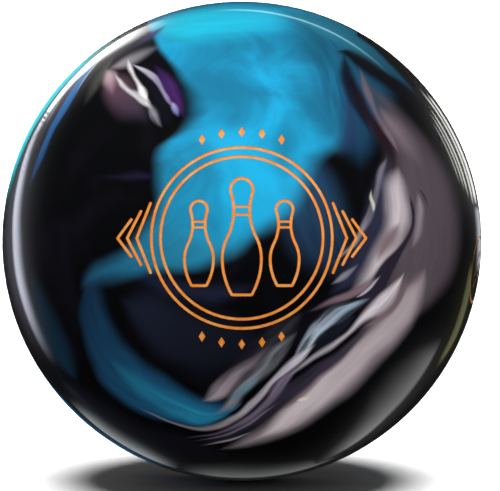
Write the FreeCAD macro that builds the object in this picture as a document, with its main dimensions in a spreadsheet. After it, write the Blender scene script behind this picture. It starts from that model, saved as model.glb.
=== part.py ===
import FreeCAD, Part
import math
import os

import Sketcher

# A bowling ball with no finger holes drilled yet, in millimetres.
# The origin is the centre of the ball, +Z is up and the decorated front faces -Y.
# From the inside out it is a symmetric weight block, a filler core cast round it and a
# coverstock cast round that. A locator plug fills the hole that the casting rod left, from
# the top of the weight block to the surface, and so shows where the block's axis points.
# The engravings are shallow grooves in the coverstock. Each figure's paint is a solid of
# its own that fills its grooves to just under the surface.

SIZES = {
    # the ball and its layers
    "ball_diameter": 217.0,
    "core_diameter": 179.0,
    # the weight block, measured along its axis from the centre of the ball
    "bulb_radius": 49.0,
    "bulb_centre_depth": 21.0,
    "waist_radius": 28.0,
    "waist_top": 27.0,
    "collar_radius": 41.0,
    "collar_low_edge": 33.0,
    "collar_high_edge": 42.0,
    "cap_radius": 26.0,
    "cap_base": 48.0,
    "cap_shoulder": 60.0,
    "cap_top": 67.0,
    "block_fillet": 4.0,
    "flute_count": 6,
    "flute_radius": 10.0,
    "flute_offset": 53.0,
    "flute_top": 5.0,
    # the locator plug, and the direction in which it and the weight block point
    "plug_diameter": 8.0,
    "plug_socket_depth": 12.0,
    "plug_azimuth": 122.0,
    "plug_elevation": 36.0,
    # every engraved line
    "stroke_width": 1.3,
    "groove_depth": 0.9,
    "paint_recess": 0.25,
    # the front figure: three pins in a double ring, with chevrons and diamonds round it
    "front_azimuth": 0.0,
    "front_elevation": 5.8,
    "ring_outer_radius": 38.5,
    "ring_inner_radius": 34.5,
    "pin_height": 49.0,
    "pin_head_radius": 4.2,
    "pin_neck_radius": 2.8,
    "pin_neck_curve": 26.0,
    "pin_belly_radius": 7.8,
    "pin_belly_height": 15.0,
    "pin_foot_radius": 3.9,
    "middle_pin_scale": 1.0,
    "middle_pin_drop": 24.0,
    "side_pin_scale": 0.72,
    "side_pin_drop": 20.0,
    "side_pin_spacing": 18.5,
    "neck_band_spacing": 1.7,
    "neck_band_width": 1.1,
    "chevron_count": 3,
    "chevron_first_tip": 45.5,
    "chevron_pitch": 4.2,
    "chevron_depth": 6.0,
    "chevron_half_height": 15.0,
    "chevron_shrink": 3.5,
    "diamond_count": 5,
    "diamond_circle_radius": 46.0,
    "diamond_spacing": 11.0,
    "diamond_half_width": 1.5,
    "diamond_half_height": 2.4,
    # the small side figure: arrows in a ring
    "side_azimuth": 80.0,
    "side_elevation": -6.0,
    "side_ring_radius": 14.0,
    "arrow_count": 3,
    "arrow_first_tip": 8.0,
    "arrow_pitch": 5.0,
    "arrow_depth": 5.0,
    "arrow_half_width": 7.5,
    # the small ring that marks the centre of gravity
    "gravity_azimuth": 146.0,
    "gravity_elevation": 3.0,
    "gravity_ring_radius": 3.2,
}

OVERCUT = 1.0  # how far a cutting tool runs past the surface that it cuts
UP = FreeCAD.Vector(0, 0, 1)
START, END, CENTRE = 1, 2, 3  # the points of a sketched curve
SKETCH_ORIGIN = (-1, START)
SKETCH_VERTICAL = -2

doc = FreeCAD.newDocument("bowling_ball")
sheet = doc.addObject("Spreadsheet::Sheet", "Sizes")
for row, (alias, value) in enumerate(SIZES.items(), start=1):
    sheet.set(f"A{row}", alias)
    sheet.set(f"B{row}", str(value))
    sheet.setAlias(f"B{row}", alias)
doc.recompute()


# ------------------------------------------------------------------ sheet and placement
def value_of(formula):
    """The number that a formula of the sheet's cells gives."""
    return float(sheet.evalExpression(formula))


def bind(item, **formulas):
    """Binds properties of a document object to formulas of the sheet's cells."""
    for prop, formula in formulas.items():
        item.setExpression(prop, formula)


def turn_to(place):
    """The turn that points Z out of the ball at a named place.

    Seen from outside, X then points right and Y up. An azimuth turns from the front
    towards +X, and an elevation rises from the equator.
    """
    return f"rotation(Sizes.{place}_azimuth; 0; 90 - Sizes.{place}_elevation)"


def facing(place, distance="0"):
    """The placement turned to a named place, at a distance along its own Z."""
    return f"placement({turn_to(place)} * vector(0; 0; {distance}); {turn_to(place)})"


def ball_zone(name, diameter):
    """A sphere about the centre, its seam turned to -X, where nothing is engraved."""
    sphere = doc.addObject("Part::Sphere", name)
    bind(sphere, Radius=f"({diameter}) / 2")
    sphere.Placement.Rotation = FreeCAD.Rotation(UP, 180)
    return sphere


def boolean(kind, name, base, tool):
    """A Part::Cut or Part::Common of two objects."""
    result = doc.addObject(kind, name)
    result.Base = base
    result.Tool = tool
    return result


# ------------------------------------------------------------------ sketch helpers
def constrain(sketch, kind, geometry, formula):
    """Adds a dimension to a sketch and binds its value to a formula."""
    index = sketch.addConstraint(Sketcher.Constraint(kind, *geometry, value_of(formula)))
    sketch.setExpression(f"Constraints[{index}]", formula)


def fix_point(sketch, curve, end, across, up):
    """Fixes a point of a curve by its bound distances from the sketch's origin."""
    constrain(sketch, "DistanceX", (*SKETCH_ORIGIN, curve, end), across)
    constrain(sketch, "DistanceY", (*SKETCH_ORIGIN, curve, end), up)


def join(sketch, first, first_end, second, second_end, kind="Coincident"):
    """Joins two curves end to end, either meeting or tangent."""
    sketch.addConstraint(Sketcher.Constraint(kind, first, first_end, second, second_end))


def add_arc(sketch, across, up, radius, start, end):
    """An arc about (across, up) that runs anticlockwise between two angles."""
    circle = Part.Circle(FreeCAD.Vector(across, up, 0), UP, radius)
    return sketch.addGeometry(Part.ArcOfCircle(circle, start, end))


def add_circle(sketch, radius, across="0", up="0"):
    """A circle whose radius and centre are formulas."""
    centre = FreeCAD.Vector(value_of(across), value_of(up), 0)
    circle = sketch.addGeometry(Part.Circle(centre, UP, value_of(radius)))
    constrain(sketch, "Radius", (circle,), radius)
    fix_point(sketch, circle, CENTRE, across, up)


def add_lines(sketch, corners, closed=False):
    """Straight lines through corners, each a pair of formulas. Returns the lines."""
    stops = corners + corners[:1] if closed else corners
    places = [FreeCAD.Vector(value_of(across), value_of(up), 0) for across, up in stops]
    lines = [
        sketch.addGeometry(Part.LineSegment(a, b)) for a, b in zip(places, places[1:])
    ]
    for line, corner in zip(lines, corners):
        fix_point(sketch, line, START, *corner)
    for before, after in zip(lines, lines[1:]):
        join(sketch, before, END, after, START)
    if closed:
        join(sketch, lines[-1], END, lines[0], START)
    else:
        fix_point(sketch, lines[-1], END, *corners[-1])
    return lines


# ------------------------------------------------------------------ engraved figures
def figure(name, place):
    """An empty sketch through the ball's centre, square to the direction of a place."""
    sketch = doc.addObject("Sketcher::SketchObject", name)
    bind(sketch, Placement=facing(place))
    return sketch


def strokes(sketch, closed=False):
    """The lines of a sketch drawn one stroke wide, as faces.

    An open line widens by half a stroke to each side, and a closed one by a whole stroke
    outwards.
    """
    doc.recompute()
    faces = doc.addObject("Part::Offset2D", f"{sketch.Name}_strokes")
    faces.Source = sketch
    faces.Mode = "Pipe"
    faces.Join = "Arc"
    faces.Fill = True
    bind(faces, Value="Sizes.stroke_width" if closed else "Sizes.stroke_width / 2")
    return faces


def prism(outline, place):
    """Faces or closed lines carried from the centre of the ball out past its surface."""
    solid = doc.addObject("Part::Extrusion", f"{outline.Name}_prism")
    solid.Base = outline
    solid.DirMode = "Custom"
    solid.Solid = True
    bind(
        solid,
        Dir=f"{turn_to(place)} * vector(0; 0; 1)",
        LengthFwd=f"Sizes.ball_diameter / 2 + {OVERCUT}",
    )
    return solid


def add_side_arc(sketch, side, centre, radius, start, end):
    """An arc of a pin's right side, or with side -1 its mirror image on the left.

    The centre is (axis, out, up): the pin's axis, and the arc's own centre out from it.
    """
    axis, out, up = centre
    if side < 0:
        start, end = math.pi - end, math.pi - start
    return add_arc(sketch, axis + side * out, up, radius, start, end)


def add_pin(sketch, across, drop, scale):
    """The outline of a bowling pin whose foot is below the sketch's origin by a drop.

    From the foot up, each side is a shallow arc to the belly, a tighter arc above it and
    a long hollow arc at the neck, and one arc goes over the head. Each arc is tangent to
    the next, so the upper belly's radius and the neck's height follow from the rest.
    """
    axis, base, factor = value_of(across), -value_of(drop), value_of(scale)
    height, head, neck, curve, belly, belly_height, foot = (
        factor * SIZES[f"pin_{name}"]
        for name in (
            "height",
            "head_radius",
            "neck_radius",
            "neck_curve",
            "belly_radius",
            "belly_height",
            "foot_radius",
        )
    )
    head_height = height - head
    neck_height = head_height - math.sqrt((head + curve) ** 2 - (neck + curve) ** 2)
    rise = neck_height - belly_height
    reach = neck + curve - belly
    upper = (reach**2 + rise**2 - curve**2) / (2 * (curve - reach))
    lower = ((belly - foot) ** 2 + belly_height**2) / (2 * (belly - foot))
    foot_angle = math.atan2(-belly_height, lower - belly + foot)
    belly_angle = math.atan2(rise, reach + upper)
    head_angle = math.atan2(neck_height - head_height, neck + curve)

    base_up = f"-({drop})"
    foot_ends = [
        (f"{across} {sign} {scale} * Sizes.pin_foot_radius", base_up) for sign in "-+"
    ]
    (foot_line,) = add_lines(sketch, foot_ends)
    crown = add_arc(
        sketch, axis, base + head_height, head, head_angle, math.pi - head_angle
    )
    constrain(sketch, "Radius", (crown,), f"{scale} * Sizes.pin_head_radius")
    crown_up = f"{base_up} + {scale} * (Sizes.pin_height - Sizes.pin_head_radius)"
    fix_point(sketch, crown, CENTRE, across, crown_up)

    belly_up = f"{base_up} + {scale} * Sizes.pin_belly_height"
    for side, near, far in ((1, START, END), (-1, END, START)):
        low_centre = (axis, belly - lower, base + belly_height)
        high_centre = (axis, belly - upper, base + belly_height)
        neck_centre = (axis, neck + curve, base + neck_height)
        low = add_side_arc(sketch, side, low_centre, lower, foot_angle, 0)
        high = add_side_arc(sketch, side, high_centre, upper, 0, belly_angle)
        hollow = add_side_arc(
            sketch, side, neck_centre, curve, math.pi + head_angle, math.pi + belly_angle
        )
        join(sketch, foot_line, far, low, near)
        join(sketch, low, far, high, near, "Tangent")
        join(sketch, high, far, hollow, far, "Tangent")
        join(sketch, hollow, near, crown, near, "Tangent")
        for arc in (low, high):
            constrain(sketch, "DistanceY", (*SKETCH_ORIGIN, arc, CENTRE), belly_up)
        widest = f"{across} + {side} * {scale} * Sizes.pin_belly_radius"
        constrain(sketch, "DistanceX", (*SKETCH_ORIGIN, high, near), widest)
        constrain(sketch, "Radius", (hollow,), f"{scale} * Sizes.pin_neck_curve")
        hollow_out = f"{scale} * (Sizes.pin_neck_radius + Sizes.pin_neck_curve)"
        hollow_across = f"{across} + {side} * {hollow_out}"
        constrain(sketch, "DistanceX", (*SKETCH_ORIGIN, hollow, CENTRE), hollow_across)


def add_neck_bands(sketch, across, drop, scale):
    """Two bars across a pin's neck, above and below its narrowest point."""
    head_to_neck = (
        "sqrt((Sizes.pin_head_radius + Sizes.pin_neck_curve)^2"
        " - (Sizes.pin_neck_radius + Sizes.pin_neck_curve)^2)"
    )
    neck_up = f"{scale} * (Sizes.pin_height - Sizes.pin_head_radius - {head_to_neck})"
    reach = f"({scale} * Sizes.pin_neck_radius + Sizes.stroke_width / 2)"
    for sign in "-+":
        level = f"{neck_up} - {drop} {sign} {scale} * Sizes.neck_band_spacing"
        low, high = (f"{level} {edge} Sizes.neck_band_width / 2" for edge in "-+")
        left, right = (f"{across} {edge} {reach}" for edge in "-+")
        corners = [(left, low), (right, low), (right, high), (left, high)]
        add_lines(sketch, corners, closed=True)


def ring_prisms(name, place, radii):
    """Concentric rings, each one stroke wide outwards from its radius."""
    sketch = figure(name, place)
    for radius in radii:
        add_circle(sketch, radius)
        add_circle(sketch, f"{radius} + Sizes.stroke_width")
    return [prism(sketch, place)]


def pin_prisms():
    """A middle pin and two smaller ones beside it, each with two bands round its neck."""
    outlines = figure("pin_outlines", "front")
    bands = figure("pin_bands", "front")
    for across, kind in (
        ("0", "middle"),
        ("-Sizes.side_pin_spacing", "side"),
        ("Sizes.side_pin_spacing", "side"),
    ):
        drop, scale = f"Sizes.{kind}_pin_drop", f"Sizes.{kind}_pin_scale"
        add_pin(outlines, across, drop, scale)
        add_neck_bands(bands, across, drop, scale)
    return [
        prism(strokes(outlines, closed=True), "front"),
        prism(bands, "front"),
    ]


def chevron_prisms():
    """Nested chevrons on each side of the rings, pointing outwards and getting shorter."""
    sketch = figure("front_chevrons", "front")
    for side in (-1, 1):
        for step in range(SIZES["chevron_count"]):
            tip = f"(Sizes.chevron_first_tip + {step} * Sizes.chevron_pitch)"
            heel = f"{side} * ({tip} - Sizes.chevron_depth)"
            half = f"(Sizes.chevron_half_height - {step} * Sizes.chevron_shrink)"
            add_lines(sketch, [(heel, half), (f"{side} * {tip}", "0"), (heel, f"-{half}")])
    return [prism(strokes(sketch), "front")]


def diamond_prisms():
    """A row of solid diamonds along an arc above the rings, and another below them."""
    sketch = figure("front_diamonds", "front")
    for side in (-1, 1):
        for step in range(SIZES["diamond_count"]):
            turn = f"({step} - (Sizes.diamond_count - 1) / 2) * Sizes.diamond_spacing * 1 deg"
            across = f"Sizes.diamond_circle_radius * sin({turn})"
            up = f"{side} * Sizes.diamond_circle_radius * cos({turn})"
            corners = [
                (across, f"{up} - Sizes.diamond_half_height"),
                (f"{across} + Sizes.diamond_half_width", up),
                (across, f"{up} + Sizes.diamond_half_height"),
                (f"{across} - Sizes.diamond_half_width", up),
            ]
            add_lines(sketch, corners, closed=True)
    return [prism(sketch, "front")]


def arrow_prisms():
    """Arrow heads one above another, pointing up inside the side ring."""
    sketch = figure("side_arrows", "side")
    for step in range(SIZES["arrow_count"]):
        tip = f"Sizes.arrow_first_tip - {step} * Sizes.arrow_pitch"
        heel = f"{tip} - Sizes.arrow_depth"
        half = "Sizes.arrow_half_width"
        add_lines(sketch, [(f"-{half}", heel), ("0", tip), (half, heel)])
    return [prism(strokes(sketch), "side")]


def engraving(label, prisms, groove_floor, paint_top):
    """Cuts a figure's grooves and fills them. Returns the cutting tool and the paint."""
    if len(prisms) > 1:
        outline = doc.addObject("Part::MultiFuse", f"{label}_prisms")
        outline.Shapes = prisms
    else:
        outline = prisms[0]
    groove = boolean("Part::Cut", f"{label}_groove", outline, groove_floor)
    paint = boolean("Part::Common", label, groove, paint_top)
    return groove, paint


# ------------------------------------------------------------------ the weight block
def body_sketch(body, name, plane, offset="0"):
    """A sketch on one of a body's own origin planes, moved along its normal."""
    sketch = body.newObject("Sketcher::SketchObject", name)
    support = next(item for item in body.Origin.OriginFeatures if item.Role == plane)
    sketch.AttachmentSupport = (support, "")
    sketch.MapMode = "FlatFace"
    sketch.setExpression("AttachmentOffset.Base.z", offset)
    return sketch


def draw_block_profile(sketch):
    """Half of the block's outline: round bulb, waist, collar, cap and shallow dome."""
    bulb, depth = SIZES["bulb_radius"], SIZES["bulb_centre_depth"]
    bulb_end = math.acos(SIZES["waist_radius"] / bulb)
    outline = add_arc(sketch, 0, -depth, bulb, -math.pi / 2, bulb_end)
    waist_foot = "sqrt(Sizes.bulb_radius^2 - Sizes.waist_radius^2) - Sizes.bulb_centre_depth"
    walls = add_lines(
        sketch,
        [
            ("Sizes.waist_radius", waist_foot),
            ("Sizes.waist_radius", "Sizes.waist_top"),
            ("Sizes.collar_radius", "Sizes.collar_low_edge"),
            ("Sizes.collar_radius", "Sizes.collar_high_edge"),
            ("Sizes.cap_radius", "Sizes.cap_base"),
            ("Sizes.cap_radius", "Sizes.cap_shoulder"),
        ],
    )
    half_chord = SIZES["cap_radius"]
    dome_rise = SIZES["cap_top"] - SIZES["cap_shoulder"]
    dome_radius = (half_chord**2 + dome_rise**2) / (2 * dome_rise)
    dome_start = math.acos(half_chord / dome_radius)
    dome_centre = SIZES["cap_top"] - dome_radius
    dome = add_arc(sketch, 0, dome_centre, dome_radius, dome_start, math.pi / 2)
    axis_ends = [
        ("0", "Sizes.cap_top"),
        ("0", "-Sizes.bulb_centre_depth - Sizes.bulb_radius"),
    ]
    (axis,) = add_lines(sketch, axis_ends)
    join(sketch, outline, END, walls[0], START)
    join(sketch, walls[-1], END, dome, START)
    join(sketch, dome, END, axis, START)
    join(sketch, axis, END, outline, START)
    for arc in (outline, dome):
        on_axis = Sketcher.Constraint("PointOnObject", arc, CENTRE, SKETCH_VERTICAL)
        sketch.addConstraint(on_axis)


def rim_edges(shape):
    """The names of a turned shape's full circles, where two of its faces meet."""
    return [
        f"Edge{index}"
        for index, edge in enumerate(shape.Edges, start=1)
        if not edge.Degenerated and edge.isClosed()
    ]


def check_cut(feature, before):
    """Stops if a pocket has left the volume as it was, in cubic millimetres."""
    doc.recompute()
    if feature.Shape.Volume > before - 1:
        raise RuntimeError(f"{feature.Name} cuts nothing")


def make_weight_block():
    """A turned block with filleted rims, flutes round its bulb and a socket for the plug."""
    body = doc.addObject("PartDesign::Body", "weight_block")
    profile = body_sketch(body, "block_profile", "XZ_Plane")
    draw_block_profile(profile)
    turned = body.newObject("PartDesign::Revolution", "turned_block")
    turned.Profile = profile
    turned.ReferenceAxis = (profile, ["V_Axis"])
    turned.Angle = 360
    doc.recompute()

    rounded = body.newObject("PartDesign::Fillet", "rounded_rims")
    rounded.Base = (turned, rim_edges(turned.Shape))
    bind(rounded, Radius="Sizes.block_fillet")
    doc.recompute()

    socket_sketch = body_sketch(body, "socket_circle", "XY_Plane", "Sizes.cap_top")
    add_circle(socket_sketch, "Sizes.plug_diameter / 2")
    socket = body.newObject("PartDesign::Pocket", "plug_socket")
    socket.Profile = socket_sketch
    bind(socket, Length="Sizes.plug_socket_depth")
    check_cut(socket, rounded.Shape.Volume)

    flute_sketch = body_sketch(body, "flute_circle", "XY_Plane", "Sizes.flute_top")
    add_circle(flute_sketch, "Sizes.flute_radius", across="Sizes.flute_offset")
    flute = body.newObject("PartDesign::Pocket", "flute")
    flute.Profile = flute_sketch
    flute.Type = "ThroughAll"
    check_cut(flute, socket.Shape.Volume)
    flutes = body.newObject("PartDesign::PolarPattern", "flutes")
    flutes.Originals = [flute]
    flutes.Axis = (flute_sketch, ["N_Axis"])
    flutes.Angle = 360
    bind(flutes, Occurrences="Sizes.flute_count")
    body.Tip = flutes
    check_cut(flutes, flute.Shape.Volume)
    bind(body, Placement=facing("plug"))
    return body


# ------------------------------------------------------------------ the ball
weight_block = make_weight_block()

ball = ball_zone("ball_outside", "Sizes.ball_diameter")
core = ball_zone("core_outside", "Sizes.core_diameter")
groove_floor = ball_zone("groove_floor", "Sizes.ball_diameter - 2 * Sizes.groove_depth")
paint_top = ball_zone("paint_top", "Sizes.ball_diameter - 2 * Sizes.paint_recess")

rod = doc.addObject("Part::Cylinder", "plug_rod")
bind(
    rod,
    Radius="Sizes.plug_diameter / 2",
    Height=f"Sizes.ball_diameter / 2 + {OVERCUT} - Sizes.cap_top + Sizes.plug_socket_depth",
    Placement=facing("plug", "(Sizes.cap_top - Sizes.plug_socket_depth)"),
)
locator_plug = boolean("Part::Common", "locator_plug", rod, ball)

filler = boolean("Part::Cut", "filler", core, weight_block)
outer_core = boolean("Part::Cut", "outer_core", filler, rod)

figures = {
    "front_ring_paint": ring_prisms(
        "front_rings", "front", ("Sizes.ring_inner_radius", "Sizes.ring_outer_radius")
    ),
    "front_pins_paint": pin_prisms(),
    "front_chevrons_paint": chevron_prisms(),
    "front_diamonds_paint": diamond_prisms(),
    "side_ring_paint": ring_prisms("side_rings", "side", ("Sizes.side_ring_radius",)),
    "side_arrows_paint": arrow_prisms(),
    "gravity_mark_paint": ring_prisms(
        "gravity_rings", "gravity", ("Sizes.gravity_ring_radius",)
    ),
}
grooves = []
paints = []
for label, prisms in figures.items():
    groove, paint = engraving(label, prisms, groove_floor, paint_top)
    grooves.append(groove)
    paints.append(paint)

shell = boolean("Part::Cut", "shell", ball, core)
openings = doc.addObject("Part::Compound", "shell_openings")
openings.Links = [rod, *grooves]
coverstock = boolean("Part::Cut", "coverstock", shell, openings)

# ------------------------------------------------------------------ check and write
doc.recompute()
for item in doc.Objects:
    if "Invalid" in item.State or "Error" in item.State:
        raise RuntimeError(f"{item.Name} failed: {item.State}")

os.makedirs("parts", exist_ok=True)
for piece in (coverstock, outer_core, weight_block, locator_plug, *paints):
    if piece.Shape.isNull() or not piece.Shape.isValid():
        raise RuntimeError(f"{piece.Label} has no valid shape")
    piece.Shape.exportStep(f"parts/{piece.Label}.step")
    solids = len(piece.Shape.Solids)
    print(f"{piece.Label}: {solids} solid(s), {piece.Shape.Volume / 1000:.3f} cm3")
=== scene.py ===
"""Looks of an undrilled bowling ball: swirled pearl resin, enamel-filled engravings, studio."""

import logging
import math
from dataclasses import dataclass, field
from enum import Enum
from typing import Any

import bpy
import numpy as np
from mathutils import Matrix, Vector


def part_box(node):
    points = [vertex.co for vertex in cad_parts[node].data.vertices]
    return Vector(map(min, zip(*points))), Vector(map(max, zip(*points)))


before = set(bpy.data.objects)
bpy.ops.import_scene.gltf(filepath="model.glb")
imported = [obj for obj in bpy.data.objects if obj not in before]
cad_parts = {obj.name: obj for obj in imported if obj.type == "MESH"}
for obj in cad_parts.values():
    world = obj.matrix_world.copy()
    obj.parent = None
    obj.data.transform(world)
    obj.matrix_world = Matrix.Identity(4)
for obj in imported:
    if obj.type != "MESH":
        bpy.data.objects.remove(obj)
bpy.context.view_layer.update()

log = logging.getLogger("bowling_ball")

MM = 0.001  # metres in a millimetre
LOW_CORNER, HIGH_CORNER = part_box("coverstock")
RADIUS = (HIGH_CORNER.z - LOW_CORNER.z) / 2
FLOOR_LEVEL = LOW_CORNER.z
VIEW_TILT = math.radians(5)  # how far above the equator the camera stands

COLOURS = {"data_type": "RGBA"}  # for a mix of two colours
SMOOTH = {"interpolation_type": "SMOOTHSTEP"}  # for a step with soft ends

Settings = dict[str, Any] | str
Links = dict[int | str, Any]


# ---------------------------------------------------------------------- node building
def linear(hex_colour: str) -> tuple[float, float, float, float]:
    """Turns an sRGB hex colour into a linear one.

    Args:
        hex_colour: six hex digits after a hash sign.

    Returns:
        Linear red, green, blue and an alpha of one.
    """
    shares = [int(hex_colour[i : i + 2], 16) / 255 for i in (1, 3, 5)]
    red, green, blue = (
        share / 12.92 if share <= 0.04045 else ((share + 0.055) / 1.055) ** 2.4
        for share in shares
    )
    return red, green, blue, 1.0


def add(tree: bpy.types.NodeTree, kind: str, settings: Settings, links: Links) -> Any:
    """Adds a node, sets its properties and feeds its inputs.

    Args:
        tree: the node tree that the node goes into.
        kind: the node's type name without its Shader prefix, such as NodeMath.
        settings: the node's own properties by name, or its operation alone.
        links: a socket to link or a value to set, by the input's name or number.

    Returns:
        The new node.
    """
    node = tree.nodes.new("Shader" + kind)
    own = {"operation": settings} if isinstance(settings, str) else settings
    for name, value in own.items():
        setattr(node, name, value)
    for key, value in links.items():
        if isinstance(value, bpy.types.NodeSocket):
            tree.links.new(value, node.inputs[key])
        else:
            node.inputs[key].default_value = value
    return node


def new_material(name: str) -> tuple[bpy.types.Material, bpy.types.NodeTree]:
    """Makes a material with an empty node tree.

    Args:
        name: what the finish is called in the workshop.

    Returns:
        The material and its node tree.
    """
    material = bpy.data.materials.new(name)
    material.use_nodes = True
    material.node_tree.nodes.clear()
    return material, material.node_tree


def shape_curve(node: Any, points: list[tuple[float, float]]) -> None:
    """Gives a Float Curve node a smooth curve through points that run left to right.

    Args:
        node: the Float Curve node, its two first points still in place.
        points: the curve's points, the first at 0 and the last at 1.
    """
    node.mapping.use_clip = False
    curve = node.mapping.curves[0]
    for x, y in points[1:-1]:
        curve.points.new(x, y)
    for place, (x, y) in zip(curve.points, points):
        place.location = (x, y)
        place.handle_type = "AUTO"
    node.mapping.update()


# ---------------------------------------------------------------------- the shell's resin
@dataclass(frozen=True)
class Stream:
    """A tongue of coloured resin that flowed through the shell before it set.

    Its places are degrees of arc over the ball's surface, right and up from the middle of
    the front, so that a circle about the middle stays a circle. A few streams are no resin
    but painted light and shade laid the same way: a painted glow, highlights, sheens and a shade.
    the front, so that a circle about the middle stays a circle.

    Attributes:
        name: what it is called.
        path: right, up and half width at a few stations along its middle.
        head: its colour where it starts.
        tail: its colour where it ends.
        edge: the width over which it blends into the resin beside it.
        grain: how much of it breaks into fine threads along the flow, from 0 to 1.
        strength: how much of the resin under it it covers, from 0 to 1.
    """

    name: str
    path: tuple[tuple[float, float, float], ...]
    head: str
    tail: str
    edge: float
    grain: float = 0.0
    strength: float = 1.0


@dataclass(frozen=True)
class Pool:
    """A broad body of one resin with a closed outline round its middle.

    Attributes:
        middle: right and up, in degrees of arc from the middle of the front.
        outline: the angle from rightwards, in degrees, and the reach at that angle.
        bright: its colour where the pearl is thickest.
        deep: its colour where the pearl is thin.
        edge: the width over which it blends into the resin round it, in degrees.
    """

    middle: tuple[float, float]
    outline: tuple[tuple[float, float], ...]
    bright: str
    deep: str
    edge: float


TEAL_POOL = Pool(
    middle=(4, 31),
    outline=(
        (-180, 15), (-168, 18), (-160, 24), (-148, 28), (-128, 32), (-110, 32), (-92, 29),
        (-72, 24), (-52, 19), (-36, 18), (-20, 21), (0, 24), (20, 26), (34, 30), (42, 38),
        (50, 62), (60, 100), (106, 100), (118, 74), (128, 58), (134, 44), (142, 30), (152, 21),
        (164, 16), (180, 15),
    ),
    bright="#0aaee2",
    deep="#0a82aa",
    edge=7.0,
)

# Every stream under the pool and over it, in the order in which they are laid: most are
# resin, and a few are painted light and shade, marked where they stand. After the path come
# the two colours, the edge, and where it has them the grain and the strength.
STREAMS_UNDER_POOL = (
    Stream("violet_skirt", (
        (-62, -32, 0), (-47, -48, 8), (-31, -56, 10), (-14, -60, 9), (2, -62, 0),
    ), "#14182c", "#1a1726", 7),
    Stream("navy_floor", (
        (-31, -13, 0), (-23, -18, 9), (-13, -24, 11), (-3, -25, 10), (6, -21, 0),
    ), "#1b2036", "#11131e", 8),
    Stream("blue_haze", (
        (11, 24, 0), (15, 15, 9), (17, 6, 11), (20, -3, 9), (24, -12, 0),
    ), "#15517a", "#131a30", 8, 0.25),
    Stream("violet_haze", (
        (-28, -7, 0), (-20, -10, 3.5), (-12, -12, 3.8), (-3, -12, 3.5), (6, -8, 0),
    ), "#122848", "#24233f", 4, 0.0, 0.7),
    Stream("limb_teal", (
        (-60, -5, 0), (-59, -12, 4.5), (-56.5, -20, 6.5), (-54, -28, 8), (-50.5, -35, 7),
        (-46, -42, 0),
    ), "#061c34", "#0b3850", 6),
    Stream("curl", (
        (-35, -5, 0), (-38, -12, 6), (-38, -20, 7.5), (-35.5, -28, 8), (-31, -35, 9.5),
        (-24, -40, 9.5), (-16, -43.5, 8.5), (-9, -44.5, 7), (-4, -43.5, 5), (0, -41, 0),
    ), "#0c2844", "#126a98", 5, 0.15),
    Stream("curl_light", (
        (-35, -29, 0), (-29, -35, 4), (-23, -40, 5), (-16, -43.5, 5.5), (-9, -45, 4.6),
        (-2, -44, 0),
    ), "#106482", "#1ea4d0", 4.5, 0.4),
    Stream("tail", (
        (5, 33, 0), (0, 22, 13), (-6, 11, 15), (-14, 1, 11), (-23, -4, 7), (-30, -6.5, 5),
        (-36, -9, 4), (-42, -13, 0),
    ), "#1fb6e2", "#103f60", 5, 0.1),
)

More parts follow.
